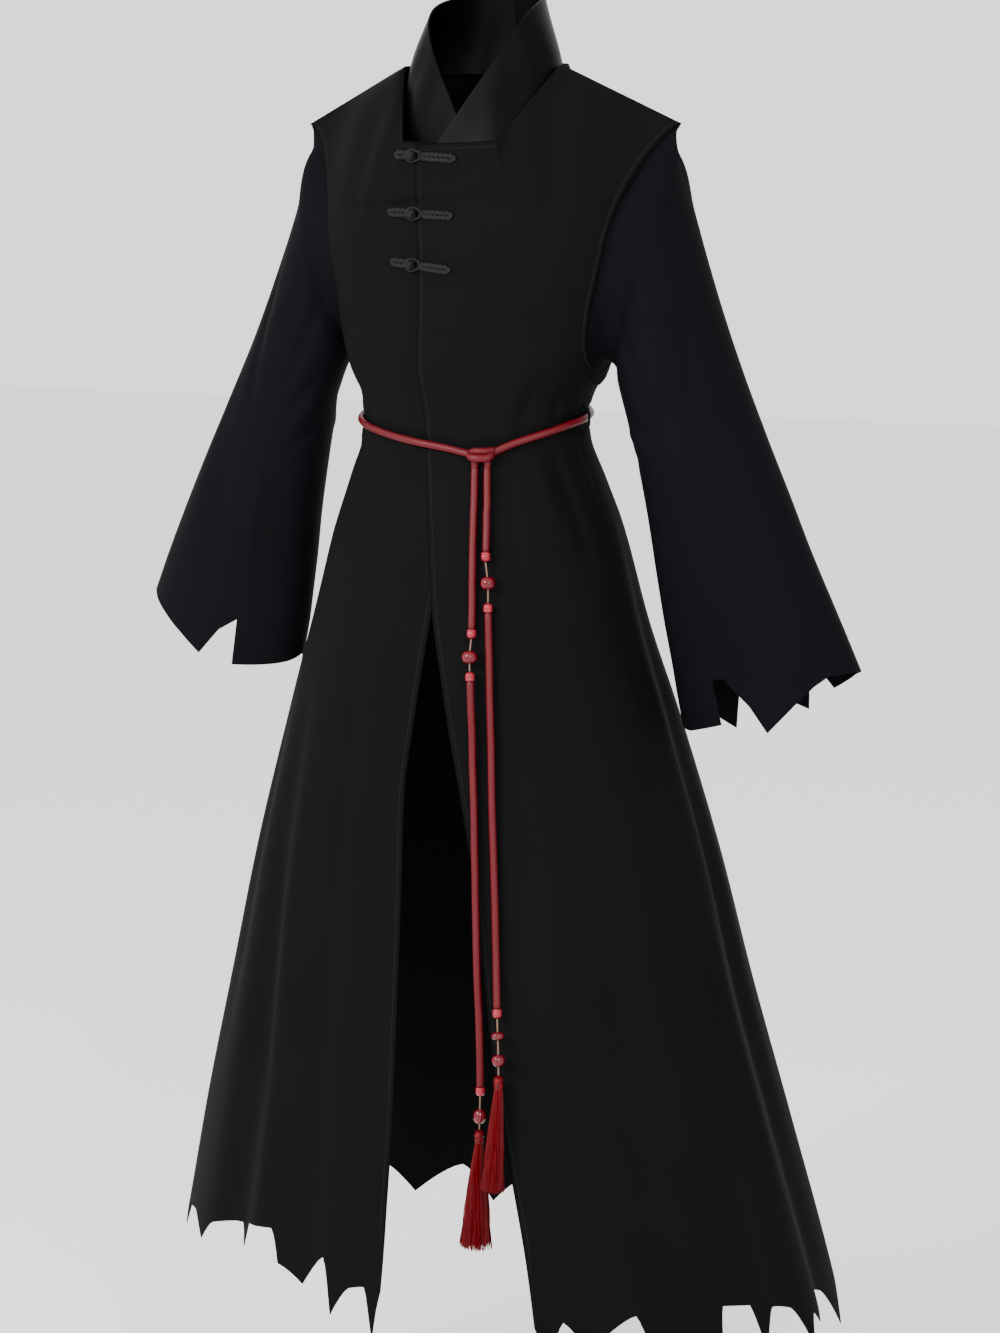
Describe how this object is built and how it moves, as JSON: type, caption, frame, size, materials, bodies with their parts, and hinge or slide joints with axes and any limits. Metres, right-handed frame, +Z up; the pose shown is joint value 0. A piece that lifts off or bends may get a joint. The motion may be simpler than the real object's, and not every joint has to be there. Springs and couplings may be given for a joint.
{
  "type": "kimono coat",
  "caption": "Long hollow coat as worn, with a crossed collar, wide sleeves, a slit front and torn hems, fastened by knotted frogs and a rope belt whose ends hang with beads and tassels.",
  "frame": {"origin": "midway between the two side neck points, where the wearer's shoulders carry the coat", "axes": "+Z up along the worn body, -Y out of the front, +X to the wearer's left"},
  "size_m": [0.874, 0.4951, 1.4624],
  "materials": {
    "coat_cloth": "matte",
    "sleeve_cloth": "matte",
    "collar_cloth": "soft sheen",
    "braid": "matte",
    "rope": "satin",
    "thread": "matte",
    "bead": "gloss",
    "tassel": "satin"
  },
  "bodies": {
    "root": {"front_left": "coat_cloth", "front_left_skirt": "coat_cloth", "front_right": "coat_cloth", "front_right_skirt": "coat_cloth", "back": "coat_cloth", "back_skirt": "coat_cloth", "sleeve_left": "sleeve_cloth", "sleeve_right": "sleeve_cloth", "collar_left": "collar_cloth", "collar_right": "collar_cloth", "frog_1_knot": "braid", "frog_1_loop": "braid", "frog_2_knot": "braid", "frog_2_loop": "braid", "frog_3_knot": "braid", "frog_3_loop": "braid", "belt_loop_left": "coat_cloth", "belt_loop_right": "coat_cloth", "belt_rope": "rope", "belt_knot": "rope", "rope_a_upper": "rope", "rope_a_lower": "rope", "rope_b_upper": "rope", "rope_b_lower": "rope", "thread_a_upper": "thread", "thread_a_lower": "thread", "thread_b_upper": "thread", "thread_b_lower": "thread", "cap_a_1": "bead", "cap_a_2": "bead", "cap_a_3": "bead", "cap_b_1": "bead", "cap_b_2": "bead", "cap_b_3": "bead", "bead_a_1": "bead", "bead_a_2": "bead", "bead_a_3": "bead", "bead_b_1": "bead", "bead_b_2": "bead", "tassel_a": "tassel", "tassel_b": "tassel"}
  },
  "joints": []
}
